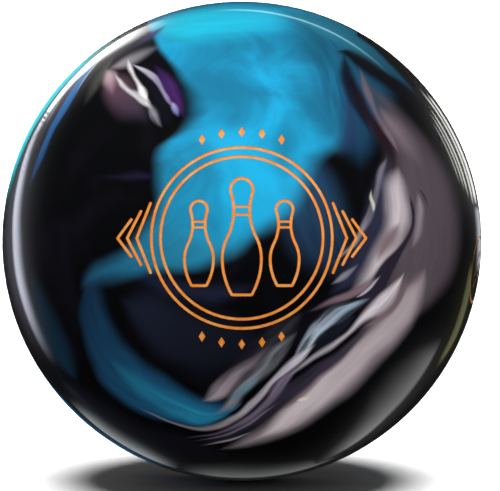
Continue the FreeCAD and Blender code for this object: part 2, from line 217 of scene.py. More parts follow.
STREAMS_OVER_POOL = (
    # Painted light: brightens the top of the teal pool towards the top rim, as light from above would.
    Stream("pool_painted_top_light", (
        (-32, 72, 0), (-20, 67, 14), (-8, 66, 15), (6, 67, 13), (24, 68, 0),
    ), "#10e4ff", "#10c0ea", 12, 0.2, 0.95),
    # Painted shade: darkens the right side of the teal pool to a deep teal.
    Stream("pool_painted_shade", (
        (8, 74, 0), (22, 62, 15), (28, 51, 19), (30, 38, 19), (29, 16, 0),
    ), "#076684", "#0d4468", 14, 0.2, 0.95),
    Stream("pool_shadow", (
        (-16, 45, 0), (-7, 40, 6), (2, 37, 6), (11, 36, 0),
    ), "#0c7aa4", "#0c78a0", 6, 0.4, 0.7),
    Stream("pool_light", (
        (-14, 27, 0), (-4, 23, 7), (4, 17, 8), (9, 8, 0),
    ), "#0cb4e8", "#0cbcf2", 7, 0.2, 0.8),
    Stream("slate_margin", (
        (30, 50, 0), (28.5, 42, 4), (28, 34, 5), (27, 26, 5.5), (23, 19, 0),
    ), "#1d4a70", "#1d2f58", 6, 0.3, 0.9),
    Stream("cap_hem", (
        (29, 55, 0), (28.3, 47, 3), (29.3, 40, 3.4), (31.3, 33, 3), (34, 25, 0),
    ), "#0a0d1c", "#120f22", 2.6, 0.1),
    Stream("black_cap", (
        (25, 52, 0), (30, 54, 4), (36, 51.5, 6), (43, 47, 5.5), (50, 40, 4), (57, 31, 0),
    ), "#05070e", "#0e0b14", 3.5),
    Stream("notch_haze", (
        (-40, 48, 0), (-35, 43, 5.5), (-31, 38, 6.5), (-27, 33, 5), (-22, 28, 0),
    ), "#7c5a68", "#23243a", 5.5, 0.1, 0.9),
    # Painted light: a soft whitish glow along the inner side of the band that the upper_left panel
    # mirrors.
    Stream("notch_painted_glow", (
        (-39, 49, 0), (-33, 50.5, 4), (-29, 52, 4), (-25, 54, 3), (-21, 56, 0),
    ), "#c9bcc4", "#55606c", 4, 0.1, 0.85),
    Stream("notch_pink", (
        (-40, 50, 0), (-37.5, 46.5, 3.2), (-35.5, 42.5, 2.6), (-34, 38, 0),
    ), "#f4dce6", "#8d5068", 3.2, 0.1, 0.9),
    Stream("notch_black", (
        (-27, 49, 0), (-24, 44, 2.4), (-21.5, 38, 3.2), (-19, 32, 3.2), (-17, 27, 0),
    ), "#16131f", "#0a0d1a", 2.5, 0.1),
    Stream("notch_green", (
        (-38, 56, 0), (-39.5, 50, 3), (-41, 45, 3.6), (-43, 40, 2.6), (-44.5, 36, 0),
    ), "#77766f", "#2c2d2c", 3.5, 0.1, 0.8),
    Stream("notch_purple", (
        (-24, 48, 0), (-20, 42, 2.8), (-17.3, 37.5, 3.2), (-15.5, 34.5, 2.6), (-14, 29, 0),
    ), "#3a2260", "#561f74", 2.8, 0.3),
    Stream("notch_crest", (
        (-33, 56, 0), (-29, 59, 2), (-26, 62, 2.4), (-22, 67, 0),
    ), "#332a50", "#4c3c88", 2.4, 0.1),
    Stream("notch_white_low", (
        (-36, 48, 0), (-33, 43, 1.0), (-30, 40, 1.1), (-27, 37.3, 1.6), (-25, 35.3, 1.6),
        (-22, 32.5, 0),
    ), "#f4eef4", "#ffffff", 1.3, 0.5),
    Stream("notch_white_high", (
        (-32, 53, 0), (-31, 48.5, 1.2), (-29, 44, 0.9), (-27, 41, 1.0), (-25.5, 38, 1.6),
        (-24, 35, 0),
    ), "#e6dfe8", "#ffffff", 1.2, 0.5),
    Stream("notch_thread", (
        (-31, 50, 0), (-27.5, 46.5, 0.9), (-24.5, 44, 1.2), (-22, 41.5, 1.1), (-20, 38, 0.9),
        (-18, 35, 0.9), (-16.5, 32.5, 0),
    ), "#d9d2de", "#8f80b8", 0.9, 0.5),
    Stream("notch_foot", (
        (-24.5, 35.5, 0), (-22.5, 32.5, 1.6), (-20.8, 30, 1.4), (-19, 27.5, 0),
    ), "#a8a4ac", "#8c8b99", 1.8, 0.8),
    Stream("notch_spot", (
        (-17.2, 35, 0), (-16.2, 32.6, 1.3), (-15.3, 30, 0),
    ), "#b9b4e4", "#34428c", 1.2),
    Stream("purple_thread", (
        (-37, 17, 0), (-30, 16, 1.4), (-25, 15.7, 1.6), (-20, 15.5, 0),
    ), "#110d1e", "#2a1f4e", 1.8, 0.3, 0.8),
    Stream("swoosh_body", (
        (31, 50, 0), (36, 42, 5.5), (43, 32, 10), (47, 24, 13.5), (49, 14, 17), (49, 4, 18),
        (48, -6, 17), (44, -14, 15), (38, -20, 11), (29, -27, 0),
    ), "#564a54", "#62565e", 11, 0.1),
    Stream("swoosh_slate", (
        (37, 25, 0), (35.5, 16, 4), (33, 7, 5), (29.5, -3, 5), (25, -10, 4), (20, -14, 0),
    ), "#34324a", "#262a46", 4, 0.3),
    # Partly the swoosh's lighter mauve resin, partly a painted highlight on its upper part.
    Stream("swoosh_mauve_and_highlight", (
        (36, 37, 0), (39, 32, 4.5), (42, 28, 5.5), (46, 24, 4.5), (51, 17, 0),
    ), "#96848c", "#5c5056", 6, 0.2, 0.8),
    # Silver pearl resin, brightened with a painted sheen.
    Stream("swoosh_silver_and_sheen", (
        (40, 20, 0), (39, 14, 5.2), (39.3, 8, 6.4), (38, 3, 5.4), (36, -2, 5), (33, -6, 4.4),
        (29.5, -10, 3), (25, -13, 0),
    ), "#c6bac2", "#eadee3", 6, 0.2),
    Stream("swoosh_rose", (
        (40, 5, 0), (37.5, 1.5, 3), (35, -2, 2.8), (33, -6, 0),
    ), "#72606a", "#7c6268", 3, 0.2, 0.9),
    # Painted sheen: a lighter stripe along the swoosh.
    Stream("swoosh_painted_sheen", (
        (45.3, 13, 0), (46.3, 9.5, 1.8), (46.3, 6, 2), (45, 1.5, 1.8), (42.5, -2.5, 0),
    ), "#9a8f94", "#877a82", 2.2),
    Stream("swoosh_line", (
        (42.8, 12.5, 0), (43.8, 9.5, 1), (44.4, 6, 1), (43.3, 3, 1), (41.3, 0, 1.2),
        (38.8, -3, 1.6), (36.5, -6, 2.2), (34.5, -9, 2.6), (32.5, -12, 2.6), (30, -14.5, 1.8),
        (27.5, -16.5, 0),
    ), "#2a1f2e", "#2b2538", 1.0),
    Stream("swoosh_hair", (
        (34.6, -8, 0), (32.6, -10, 0.5), (31, -11.8, 0.6), (29, -13.4, 0.5), (27, -14.6, 0),
    ), "#a9a0b0", "#c9c2cc", 0.5),
    Stream("swoosh_arc", (
        (44.8, 14, 0), (47, 12.4, 0.6), (48.5, 10.2, 0.6), (49.4, 7.5, 0),
    ), "#372f38", "#3a323c", 0.8),
    Stream("ragged", (
        (36.5, 22, 0), (34.2, 17, 1.6), (33, 13, 1.4), (31.4, 9, 1.2), (29.5, 4.5, 1.3),
        (27, 0, 1.1), (24, -3, 0.8), (20.5, -6.5, 0),
    ), "#6d6976", "#9c99ab", 1.2, 0.6),
    Stream("ragged_tip", (
        (31.2, 13, 0), (31, 10.8, 0.6), (31.5, 9, 0.7), (31.2, 7, 0),
    ), "#b9b69a", "#d9d6cc", 0.6),
    Stream("maroon", (
        (30, 49, 0), (31, 40, 2), (33, 33, 2.6), (36, 27, 3.2), (38, 21, 2), (37, 15, 0),
    ), "#1c1222", "#2b151f", 2.6, 0.2),
    Stream("pink_edge", (
        (33, 50, 0), (33.6, 45, 1.5), (34, 40, 2), (35, 35, 1.4), (36.7, 30.5, 1.5),
        (38.7, 26.5, 1.6), (41, 22, 0),
    ), "#6a5a68", "#8d7480", 1.8, 0.5),
    Stream("pink_low", (
        (33.5, -8, 0), (29.5, -11.7, 1.3), (26, -13.4, 1.5), (21, -15, 1.2), (14, -17, 0),
    ), "#a98a94", "#4c3850", 1.3, 0.2),
    Stream("hem", (
        (28.5, -5, 0), (26, -7.5, 1), (23.5, -9.4, 1.1), (20.5, -11, 0),
    ), "#5d6074", "#aea8b0", 1.1, 0.2),
    Stream("bundle_haze", (
        (15, -16, 0), (9.5, -20.5, 4), (4.5, -25, 4), (-1, -30, 3), (-6, -34, 0),
    ), "#3b3c48", "#2a2833", 4, 0.5, 0.8),
    Stream("bundle_mauve", (
        (8, -23, 0), (3.5, -27.5, 1.8), (0, -31, 2.4), (-3, -34.7, 3), (-6, -37.7, 3),
        (-10.5, -40.5, 0),
    ), "#4b434e", "#bcacb6", 2.4, 0.5),
    Stream("bundle_grey", (
        (13.5, -21, 0), (9.5, -25, 2.2), (6, -29, 2.6), (3, -33, 2.4), (0, -37, 2.2),
        (-3, -41, 2), (-7.5, -44.5, 0),
    ), "#74757f", "#979aa2", 2, 0.7),
    Stream("bundle_teal", (
        (5, -32, 0), (2.3, -35, 1.4), (-0.5, -38, 1.5), (-4.5, -41, 0),
    ), "#6fa3b2", "#4a7d92", 1.5, 0.4, 0.8),
    Stream("band", (
        (49, -6, 0), (46.5, -12, 4.5), (42.5, -17.5, 6.5), (38, -22, 7), (33, -27, 7),
        (27, -33, 7.5), (22, -38, 7.5), (17, -43, 7), (12, -47.5, 6), (6.5, -51.5, 5),
        (1, -55, 3.6), (-7, -59.5, 0),
    ), "#ac9ca4", "#b8a8b0", 6, 0.1),
    Stream("band_light", (
        (46, -10, 0), (42.3, -16.5, 5), (38, -21, 4.4), (33, -25.8, 4.4), (27, -31.5, 5.4),
        (21.5, -37, 5.8), (16, -42.5, 5.6), (10, -48, 4), (3, -54, 0),
    ), "#b2a4aa", "#faecf0", 4, 0.3),
    Stream("streak_tan", (
        (42.5, -7, 0), (40.5, -12, 1.6), (37.5, -16.5, 1.6), (33, -20, 1.2), (28, -22.5, 0),
    ), "#6f5d64", "#8d7478", 1.4, 0.3),
    Stream("gap", (
        (32, -20.5, 0), (27.5, -25, 1.6), (22, -29.2, 2.4), (17, -33.5, 3.1), (12, -37.8, 3.4),
        (6.5, -42.5, 3.2), (1, -48, 2.6), (-5, -52.5, 2.2), (-13, -57, 0),
    ), "#453b4e", "#1e2032", 1.8, 0.4),
    Stream("gap_rose", (
        (27, -28, 0), (22, -32, 0.9), (17, -37, 1.1), (12, -41.5, 1.1), (7, -45.5, 0),
    ), "#9a7680", "#6a4c5a", 1.4, 0.5, 0.9),
    Stream("bundle_lilac", (
        (14.5, -29, 0), (11, -33, 1.7), (8.5, -37, 2.1), (6, -41, 1.8), (2, -45.3, 1.5),
        (-4, -49.3, 1.1), (-11, -52.7, 0.9), (-19, -55.5, 0),
    ), "#9182a0", "#5a4c60", 1.4, 0.6),
    Stream("low_thread", (
        (10, -40, 0), (4.5, -45, 0.6), (-1, -49.3, 0.7), (-8, -53, 0.6), (-15, -56.5, 0),
    ), "#8d8294", "#5f566a", 0.7, 0.2),
    Stream("low_hair", (
        (4, -49.8, 0), (0, -51.8, 0.6), (-4, -53.8, 0.8), (-8, -55.8, 0.6), (-13, -58.2, 0),
    ), "#b4b4ba", "#5f5c6c", 0.7),
    # Pale icy pearl resin, brightened with a painted sheen.
    Stream("icy_patch_and_sheen", (
        (32, -14, 0), (27.5, -15.8, 1.6), (22.5, -17.6, 2.4), (18.8, -20.5, 2.7),
        (15.8, -24, 2.2), (13, -27.8, 1.4), (10.5, -31, 0),
    ), "#8fa6bc", "#cfe0ee", 1.8, 0.85),
    Stream("icy_shade", (
        (25, -17, 0), (21.5, -18.3, 1.2), (18.5, -20, 1.2), (15.5, -21.5, 0),
    ), "#8f8ca2", "#9a97ac", 1.6, 0.3, 0.8),
    Stream("icy_hole", (
        (28.5, -18.3, 0), (24.5, -20.2, 1.4), (21, -22.3, 1.9), (18.3, -24.6, 1.6), (16, -27, 0),
    ), "#1a2130", "#11131e", 0.9, 0.2),
    Stream("icy_crack", (
        (31, -15.3, 0), (28, -17, 0.6), (25, -18.8, 0.7), (21.5, -20.6, 0),
    ), "#27303f", "#3a4454", 0.6),
    Stream("white_line", (
        (41.5, -7, 0), (38, -12, 1.9), (34, -15.8, 2.5), (30, -19, 1.6), (26, -22.1, 1.1),
        (22, -24.8, 1.2), (18, -27.4, 1.1), (14, -30.2, 0.9), (10.5, -33.5, 0),
    ), "#efe2e6", "#dcd6e6", 1.6, 0.4),
    Stream("bundle_white", (
        (18.5, -24, 0), (14, -27.6, 1.6), (10.5, -30.3, 1.7), (8, -33, 1.5), (5.5, -37, 1.5),
        (2, -41.5, 1.6), (-3, -46, 1.6), (-9, -48.8, 1.4), (-16, -49.3, 1.0), (-24, -46.5, 0.8),
        (-31, -42, 0),
    ), "#e9e2ee", "#9d929c", 1.5, 0.5),
    Stream("band_star", (
        (17.5, -39.6, 0), (15.3, -40.2, 1.1), (13, -41, 0),
    ), "#fffbe8", "#f6ecd8", 1.1),
    Stream("lavender", (
        (-56, -41, 0), (-50.5, -46.5, 3.2), (-45, -51, 2.6), (-40, -55, 0),
    ), "#3a3848", "#2c2b3b", 3, 0.2, 0.8),
    Stream("shoulder_dark", (
        (-51, 57, 0), (-55.5, 46, 3), (-60, 35, 3.2), (-65, 24, 0),
    ), "#2a2138", "#1d1a30", 2.6, 0.2),
    Stream("shoulder_fleck", (
        (-54, 51, 0), (-56, 46, 1.0), (-58, 40.5, 1.0), (-60, 34, 0),
    ), "#d9d0e0", "#b0a6c0", 0.9, 0.95),
    Stream("blue_edge", (
        (-45, 59, 0), (-49, 49, 2.5), (-52.5, 40, 2.8), (-56, 31, 2.4), (-59.5, 22, 2.2),
        (-62.5, 14, 0),
    ), "#1690ea", "#0a3866", 1.8, 0.2),
    Stream("blue_hair", (
        (-43.5, 58, 0), (-46, 52, 0.7), (-48.3, 46, 0.6), (-50, 41, 0),
    ), "#eaf2fa", "#8fb4d0", 0.8),
    Stream("left_rim", (
        (-36, 84, 0), (-60, 68, 15), (-75, 51, 15), (-86, 33, 13), (-90, 14, 0),
    ), "#10f0fc", "#0a6fb0", 4),
    Stream("low_rim", (
        (-64, -60, 0), (-52, -73, 9), (-36, -84, 10), (-18, -90, 9), (0, -94, 0),
    ), "#12587a", "#0f4866", 3.5),
    Stream("top_rim", (
        (10, 76, 0), (24, 67, 8), (34, 61, 8), (43, 54.5, 5.5), (49, 49, 3.5), (56, 42, 0),
    ), "#1b98b8", "#102c50", 4, 0.1),
)


@dataclass(frozen=True)
class ShellResin:
    """Reactive urethane with pearl pigment, poured in three colours and polished.

    The pigment is in the resin, so the eye sees soft clouds and threads of colour under a
    hard clear gloss, as on a car's pearl lacquer. On the front a few of the threads are
    painted light instead: a painted glow, highlights, sheens and a shade.

    Attributes:
        black: the darkest resin.
        violet: the faint violet that shows in the black.
        drift: how far slow mixing shifts a colour's edge, in degrees of arc.
        drift_size: how long those shifts are, in metres.
        thread_gap: the distance between two threads of a grained stream, in degrees.
        thread_length: how far a thread runs before it changes, in metres.
        groove_skin: the depth below the surface that still counts as polished, in metres.
        chart_rise: how far above the equator the middle of the chart lies, in degrees.
        seam: where the far side starts and where it is alone, in degrees from the middle.
        bends: the size of each coarse bend of the far side, in metres, and its pull.
        body_size: the size of the far side's bodies of one colour, in metres.
        cloud_size: the size of the clouds inside them, in metres.
        silver: the silver resin where its pearl is thin and where it is thick.
    """

    black: str = "#040509"
    violet: str = "#110d19"
    drift: float = 0.9
    drift_size: float = 24 * MM
    thread_gap: float = 1.6
    thread_length: float = 25 * MM
    groove_skin: float = 0.2 * MM
    chart_rise: float = 5.0
    seam: tuple[float, float] = (84.0, 104.0)
    bends: tuple[tuple[float, float], ...] = ((90 * MM, 0.11), (40 * MM, 0.045))
    body_size: float = 75 * MM
    cloud_size: float = 34 * MM
    silver: tuple[str, str] = ("#3c3440", "#c9bcc4")

    def material(self) -> bpy.types.Material:
        """Builds the whole material.

        Returns:
            The material for the coverstock.
        """
        material, tree = new_material("polished_pearl_urethane")
        place = add(tree, "NodeTexCoord", {}, {}).outputs["Object"]
        chart, reach = self.chart(tree, place)
        colour = self.base(tree, place)
        for stream in STREAMS_UNDER_POOL:
            colour = self.pour(tree, stream, place, chart, colour)
        colour = self.pour_pool(tree, TEAL_POOL, place, chart, colour)
        for stream in STREAMS_OVER_POOL:
            colour = self.pour(tree, stream, place, chart, colour)
        colour = self.far_side(tree, place, reach, colour)
        self.finish(tree, place, colour)
        return material

    def chart(self, tree: bpy.types.NodeTree, place: Any) -> tuple[Any, Any]:
        """Lays the front of the ball out flat, in degrees of arc about its middle.

        A direction at an angle a from the middle goes a degrees from the chart's centre,
        so right and up are the direction's own, times a over the sine of a. A slow noise
        then shifts the chart, so that every outline drawn on it drifts like poured resin.

        Args:
            tree: the material's node tree.
            place: the socket with object coordinates.

        Returns:
            The socket of the drifting chart, and that of the angle from the middle.
        """
        level = (math.radians(self.chart_rise), 0.0, 0.0)
        turned = add(tree, "NodeMapping", {}, {0: place, 2: level})
        unit = add(tree, "NodeVectorMath", "NORMALIZE", {0: turned.outputs[0]})
        parts = add(tree, "NodeSeparateXYZ", {}, {0: unit.outputs[0]}).outputs
        back = add(tree, "NodeMath", "MULTIPLY", {0: parts[1], 1: -1.0})
        angle = add(tree, "NodeMath", "ARCCOSINE", {0: back.outputs[0]}).outputs[0]
        sine = add(tree, "NodeMath", "SINE", {0: angle}).outputs[0]
        safe = add(tree, "NodeMath", "MAXIMUM", {0: sine, 1: 1e-4}).outputs[0]
        stretch = add(tree, "NodeMath", "DIVIDE", {0: angle, 1: safe}).outputs[0]
        degrees = add(tree, "NodeMath", "DEGREES", {0: stretch}).outputs[0]
        flat = add(tree, "NodeCombineXYZ", {}, {0: parts[0], 1: parts[2]}).outputs[0]
        chart = add(tree, "NodeVectorMath", "SCALE", {0: flat, "Scale": degrees}).outputs[0]
        slow = add(
            tree, "NodeTexNoise", {},
            {"Vector": place, "Scale": 1 / self.drift_size, "Detail": 1.5, "Roughness": 0.4},
        ).outputs["Color"]
        centred = add(tree, "NodeVectorMath", "SUBTRACT", {0: slow, 1: (0.5, 0.5, 0.5)}).outputs[0]
        shift = add(
            tree, "NodeVectorMath", "MULTIPLY",
            {0: centred, 1: (4 * self.drift, 4 * self.drift, 0.0)},
        ).outputs[0]
        drifting = add(tree, "NodeVectorMath", "ADD", {0: chart, 1: shift})
        reach = add(tree, "NodeMath", "DEGREES", {0: angle}).outputs[0]
        return drifting.outputs[0], reach

    def base(self, tree: bpy.types.NodeTree, place: Any) -> Any:
        """Mixes the black resin with faint violet clouds 30 mm across.

        Args:
            tree: the material's node tree.
            place: the socket with object coordinates.

        Returns:
            The colour socket.
        """
        clouds = add(
            tree, "NodeTexNoise", {},
            {"Vector": place, "Scale": 1 / (30 * MM), "Detail": 4.0, "Distortion": 0.8},
        ).outputs["Fac"]
        share = add(tree, "NodeMapRange", {}, {0: clouds, 1: 0.45, 2: 0.75}).outputs[0]
        return add(
            tree, "NodeMix", COLOURS, {0: share, 6: linear(self.black), 7: linear(self.violet)}
        ).outputs[2]

    def far_side(
        self, tree: bpy.types.NodeTree, place: Any, reach: Any, colour: Any
    ) -> Any:
        """Swirls the same three resins round the rest of the ball.

        A coarse noise bends the coordinates twice, and bands of a finer noise read at the
        bent place are the teal bodies and the silver tongues.

        Args:
            tree: the material's node tree.
            place: the socket with object coordinates.
            reach: the socket of the angle from the middle of the front, in degrees.
            colour: the colour socket underneath.

        Returns:
            The colour socket with the far side added.
        """
        bend = place
        for size, pull in self.bends:
            noise = add(
                tree, "NodeTexNoise", {}, {"Vector": bend, "Scale": 1 / size, "Detail": 1.0}
            ).outputs["Color"]
            bend = add(
                tree, "NodeVectorMath", "MULTIPLY_ADD",
                {0: noise, 1: (pull, pull, pull * 0.6), 2: bend},
            ).outputs[0]
        bodies = add(
            tree, "NodeTexNoise", {}, {"Vector": bend, "Scale": 1 / self.body_size, "Detail": 1.5}
        ).outputs["Fac"]
        threads = add(
            tree, "NodeTexNoise", {},
            {"Vector": bend, "Scale": 1 / self.cloud_size, "Detail": 5.0, "Distortion": 0.6},
        ).outputs["Fac"]
        clouds = add(tree, "NodeMapRange", {}, {0: threads, 1: 0.3, 2: 0.7}).outputs[0]
        teal = add(
            tree, "NodeMix", COLOURS,
            {0: clouds, 6: linear(TEAL_POOL.deep), 7: linear(TEAL_POOL.bright)},
        ).outputs[2]
        silver = add(
            tree, "NodeMix", COLOURS,
            {0: clouds, 6: linear(self.silver[0]), 7: linear(self.silver[1])},
        ).outputs[2]
        start, end = self.seam
        behind = add(tree, "NodeMapRange", SMOOTH, {0: reach, 1: start, 2: end}).outputs[0]
        for low, high, tint in ((0.53, 0.60, teal), (0.47, 0.41, silver)):
            band = add(tree, "NodeMapRange", SMOOTH, {0: bodies, 1: low, 2: high}).outputs[0]
            share = add(tree, "NodeMath", "MULTIPLY", {0: band, 1: behind})
            colour = add(tree, "NodeMix", COLOURS, {0: share.outputs[0], 6: colour, 7: tint}).outputs[2]
        return colour

    def pour(
        self, tree: bpy.types.NodeTree, stream: Stream, place: Any, chart: Any, colour: Any
    ) -> Any:
        """Lays one stream over the resin below it.

        Two dot products measure how far a place lies along the stream's chord and to its
        side, in chord lengths. One curve then gives how far its middle stands off the
        chord, another its half width, and the stream covers what lies nearer to its middle
        than that. The threads change quickly across the flow and slowly along it.

        Args:
            tree: the material's node tree.
            stream: the stream to lay.
            place: the socket with object coordinates.
            chart: the socket of the drifting chart.
            colour: the colour socket underneath.

        Returns:
            The colour socket with the stream on top.
        """
        stations = np.array(stream.path, float)
        chord = stations[-1, :2] - stations[0, :2]
        length = float(np.hypot(*chord))
        along = chord / length
        across = np.array((-along[1], along[0]))
        offsets = (stations[:, :2] - stations[0, :2]) / length
        way = np.clip(offsets @ along, 0.0, 1.0)
        middle = offsets @ across
        half = stations[:, 2] / length

        # A vanishing share of the colour below makes each stream wait for the one under it,
        # so that the renderer never holds more than one stream at a time.
        start = (*stations[0, :2], 0.0)
        waiting = add(
            tree, "NodeVectorMath", "MULTIPLY_ADD", {0: colour, 1: (1e-7, 1e-7, 1e-7), 2: chart}
        ).outputs[0]
        from_start = add(tree, "NodeVectorMath", "SUBTRACT", {0: waiting, 1: start}).outputs[0]
        run, side = (
            add(
                tree, "NodeVectorMath", "DOT_PRODUCT",
                {0: from_start, 1: (*(direction / length), 0.0)},
            ).outputs["Value"]
            for direction in (along, across)
        )
        line = add(tree, "NodeFloatCurve", {}, {"Value": run})
        shape_curve(line, list(zip(way.tolist(), middle.tolist())))
        width = add(tree, "NodeFloatCurve", {}, {"Value": run})
        shape_curve(width, list(zip(way.tolist(), half.tolist())))
        off = add(tree, "NodeMath", "SUBTRACT", {0: side, 1: line.outputs[0]}).outputs[0]
        gap = add(tree, "NodeMath", "ABSOLUTE", {0: off}).outputs[0]
        depth = add(tree, "NodeMath", "SUBTRACT", {0: width.outputs[0], 1: gap}).outputs[0]
        cover = add(
            tree, "NodeMapRange", SMOOTH, {0: depth, 2: stream.edge / length, 4: stream.strength}
        ).outputs[0]
        if stream.grain:
            scale = 1 / self.thread_length
            across_flow = add(
                tree, "NodeMath", "MULTIPLY_ADD",
                {0: off, 1: length / (self.thread_gap * scale), 2: stations[0, 0]},
            ).outputs[0]
            threads = add(
                tree, "NodeTexNoise", {"noise_dimensions": "4D"},
                {"Vector": place, "W": across_flow, "Scale": scale, "Detail": 2.0},
            ).outputs["Fac"]
            kept = add(
                tree, "NodeMapRange", {},
                {0: threads, 1: 0.36, 2: 0.56, 3: 1.0 - stream.grain, 4: 1.0},
            ).outputs[0]
            cover = add(tree, "NodeMath", "MULTIPLY", {0: cover, 1: kept}).outputs[0]
        tint = add(
            tree, "NodeMix", COLOURS, {0: run, 6: linear(stream.head), 7: linear(stream.tail)}
        ).outputs[2]
        labelled = COLOURS | {"label": stream.name}
        return add(tree, "NodeMix", labelled, {0: cover, 6: colour, 7: tint}).outputs[2]

    def pour_pool(
        self, tree: bpy.types.NodeTree, pool: Pool, place: Any, chart: Any, colour: Any
    ) -> Any:
        """Lays a broad pool of resin, clouded inside, over the resin below it.

        Args:
            tree: the material's node tree.
            pool: the pool to lay.
            place: the socket with object coordinates.
            chart: the socket of the drifting chart.
            colour: the colour socket underneath.

        Returns:
            The colour socket with the pool on top.
        """
        middle = (*pool.middle, 0.0)
        local = add(tree, "NodeVectorMath", "SUBTRACT", {0: chart, 1: middle})
        right, up = (
            add(
                tree, "NodeVectorMath", "DOT_PRODUCT", {0: local.outputs[0], 1: direction}
            ).outputs["Value"]
            for direction in ((1.0, 0.0, 0.0), (0.0, 1.0, 0.0))
        )
        bearing = add(tree, "NodeMath", "ARCTAN2", {0: up, 1: right}).outputs[0]
        turn = add(tree, "NodeMapRange", {}, {0: bearing, 1: -math.pi, 2: math.pi}).outputs[0]
        reach = add(tree, "NodeFloatCurve", {}, {"Value": turn})
        shape_curve(reach, [((angle + 180) / 360, far / 100) for angle, far in pool.outline])
        far = add(tree, "NodeVectorMath", "LENGTH", {0: local.outputs[0]})
        share = add(
            tree, "NodeMath", "MULTIPLY_ADD",
            {0: far.outputs["Value"], 1: -0.01, 2: reach.outputs[0]},
        ).outputs[0]
        cover = add(
            tree, "NodeMapRange", SMOOTH, {0: share, 1: -pool.edge / 200, 2: pool.edge / 200}
        ).outputs[0]
        clouds = add(
            tree, "NodeTexNoise", {},
            {"Vector": place, "Scale": 1 / (30 * MM), "Detail": 6.0, "Distortion": 0.8},
        ).outputs["Fac"]
        pearl = add(tree, "NodeMapRange", {}, {0: clouds, 1: 0.35, 2: 0.62}).outputs[0]
        tint = add(
            tree, "NodeMix", COLOURS, {0: pearl, 6: linear(pool.deep), 7: linear(pool.bright)}
        ).outputs[2]
        return add(tree, "NodeMix", COLOURS, {0: cover, 6: colour, 7: tint}).outputs[2]

    def finish(self, tree: bpy.types.NodeTree, place: Any, colour: Any) -> None:
        """Adds the round normal of the polished surface and the gloss.

        The polished surface shades along the ball's own radius, and the walls and floors
        of the grooves along their own faces.

        Args:
            tree: the material's node tree.
            place: the socket with object coordinates.
            colour: the colour socket of the resin.
        """
        distance = add(tree, "NodeVectorMath", "LENGTH", {0: place})
        polished = add(
            tree, "NodeMath", "GREATER_THAN",
            {0: distance.outputs["Value"], 1: RADIUS - self.groove_skin},
        ).outputs[0]
        radial = add(tree, "NodeVectorMath", "NORMALIZE", {0: place})
        outward = add(
            tree, "NodeVectorTransform",
            {"vector_type": "NORMAL", "convert_from": "OBJECT", "convert_to": "WORLD"},
            {0: radial.outputs[0]},
        ).outputs[0]
        own = add(tree, "NodeNewGeometry", {}, {}).outputs["Normal"]
        normal = add(
            tree, "NodeMix", {"data_type": "VECTOR"}, {0: polished, 4: own, 5: outward}
        ).outputs[1]
        shader = add(tree, "NodeBsdfPrincipled", {}, {
            "Base Color": colour,
            "Roughness": 0.38,
            "IOR": 1.5,
            "Specular IOR Level": 0.3,
            "Normal": normal,
            "Coat Weight": 1.0,
            "Coat Roughness": 0.02,
            "Coat IOR": 1.5,
            "Coat Normal": normal,
        })
        add(tree, "NodeOutputMaterial", {}, {"Surface": shader.outputs[0]})


# ---------------------------------------------------------------------- the other finishes
@dataclass(frozen=True)
class CastFinish:
    """A cast or brushed-on finish: one colour, clouded, over a faint grain.

    Attributes:
        name: what the finish is called.
        colour: its main colour.
        shade: the colour of its clouds and specks.
        cloud: the size of the clouds, in metres.
        speck: the size of the specks, in metres.
        share: how much of the surface the clouds cover, from 0 to 1.
        roughness: how dull it is.
        coat: the weight of clear gloss over it.
        relief: the height of its grain, in metres.
    """

    name: str
    colour: str
    shade: str
    cloud: float
    speck: float
    share: float
    roughness: float
    coat: float
    relief: float

    def material(self) -> bpy.types.Material:
        """Builds the material.

        Returns:
            The material.
        """
        material, tree = new_material(self.name)
        place = add(tree, "NodeTexCoord", {}, {}).outputs["Object"]
        clouds = add(
            tree, "NodeTexNoise", {}, {"Vector": place, "Scale": 1 / self.cloud, "Detail": 4.0}
        ).outputs["Fac"]
        specks = add(
            tree, "NodeTexNoise", {}, {"Vector": place, "Scale": 1 / self.speck, "Detail": 2.0}
        ).outputs["Fac"]
        both = add(tree, "NodeMath", "ADD", {0: clouds, 1: specks}).outputs[0]
        share = add(tree, "NodeMapRange", {}, {0: both, 1: 0.85, 2: 1.25, 4: self.share}).outputs[0]
        colour = add(
            tree, "NodeMix", COLOURS, {0: share, 6: linear(self.colour), 7: linear(self.shade)}
        ).outputs[2]
        grain = add(tree, "NodeBump", {}, {"Distance": self.relief, "Height": specks}).outputs[0]
        shader = add(tree, "NodeBsdfPrincipled", {}, {
            "Base Color": colour,
            "Roughness": self.roughness,
            "IOR": 1.5,
            "Normal": grain,
            "Coat Weight": self.coat,
            "Coat Roughness": 0.08,
        })
        add(tree, "NodeOutputMaterial", {}, {"Surface": shader.outputs[0]})
        return material


# Brushed-on enamel wiped flush: bright orange, half matt, with pale flecks where the filler
# shows. The flecks are drawn at 0.5 mm, coarser than real, so that they show.
ENAMEL = CastFinish(
    name="orange_filling_enamel",
    colour="#ff8c10",
    shade="#ffce80",
    cloud=6 * MM,
    speck=0.5 * MM,
    share=0.5,
    roughness=0.45,
    coat=0.2,
    relief=0.05 * MM,
)
# Cast polyester, polished with the shell: creamy, faintly clouded and as glossy as the ball.
PLUG_RESIN = CastFinish(
    name="cast_polyester_plug",
    colour="#e9e2d0",
    shade="#cfc3a6",
    cloud=5 * MM,
    speck=0.6 * MM,
    share=0.6,
    roughness=0.3,
    coat=1.0,
    relief=0.01 * MM,
)
# Resin full of glass beads, as it leaves the mould: pale grey, dry and speckled.
FILLER = CastFinish(
    name="glass_bead_filler",
    colour="#b9b4a6",
    shade="#8f897a",
    cloud=18 * MM,
    speck=0.8 * MM,
    share=0.7,
    roughness=0.8,
    coat=0.0,
    relief=0.2 * MM,
)
# Mineral-filled polyester, as it leaves the mould: dull brick red with darker clouds.
BLOCK_RESIN = CastFinish(
    name="mineral_filled_polyester",
    colour="#a5302a",
    shade="#7a1f1c",
    cloud=14 * MM,
    speck=0.7 * MM,
    share=0.6,
    roughness=0.55,
    coat=0.0,
    relief=0.1 * MM,
)


